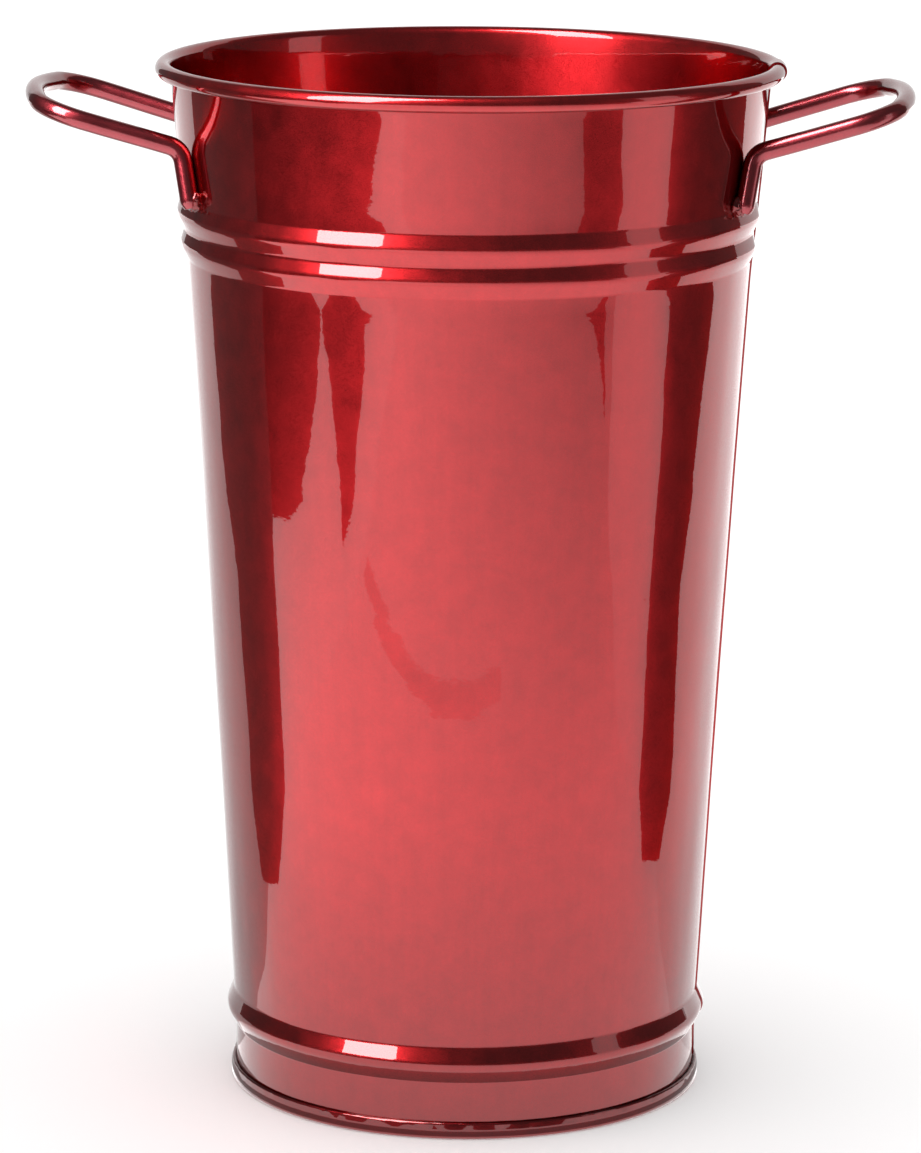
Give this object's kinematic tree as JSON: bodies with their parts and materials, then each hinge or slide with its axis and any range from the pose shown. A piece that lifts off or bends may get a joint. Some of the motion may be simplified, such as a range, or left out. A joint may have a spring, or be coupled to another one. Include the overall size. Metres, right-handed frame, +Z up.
{
  "type": "florist bucket",
  "caption": "Tall tapered sheet-metal florist bucket with a rolled rim, beaded wall, double-seamed foot and a fixed wire loop handle on each side.",
  "frame": {"origin": "on the bucket's axis at the floor, under the centre of its foot", "axes": "+Z up the bucket's axis; +X towards the right handle, which is also where the side seam is; +Y towards the back, so the front is seen along +Y"},
  "size_m": [0.2824, 0.2, 0.3345],
  "materials": {
    "lacquered_sheet": "clear red lacquer over bright tinned sheet steel, high gloss, slightly wavy",
    "lacquered_wire": "clear red lacquer over round steel wire, high gloss",
    "lacquered_weld": "clear red lacquer over lumpy weld metal",
    "bare_wire": "drawn, bare, hidden inside the rim",
    "sealant": "cured seam compound, hidden inside the foot seam"
  },
  "bodies": {
    "root": {"body_wall": "lacquered_sheet", "bottom_plate": "lacquered_sheet", "left_handle": "lacquered_wire", "right_handle": "lacquered_wire", "left_handle_welds": "lacquered_weld", "right_handle_welds": "lacquered_weld", "rim_wire": "bare_wire", "bottom_seam_sealant": "sealant"}
  },
  "joints": []
}
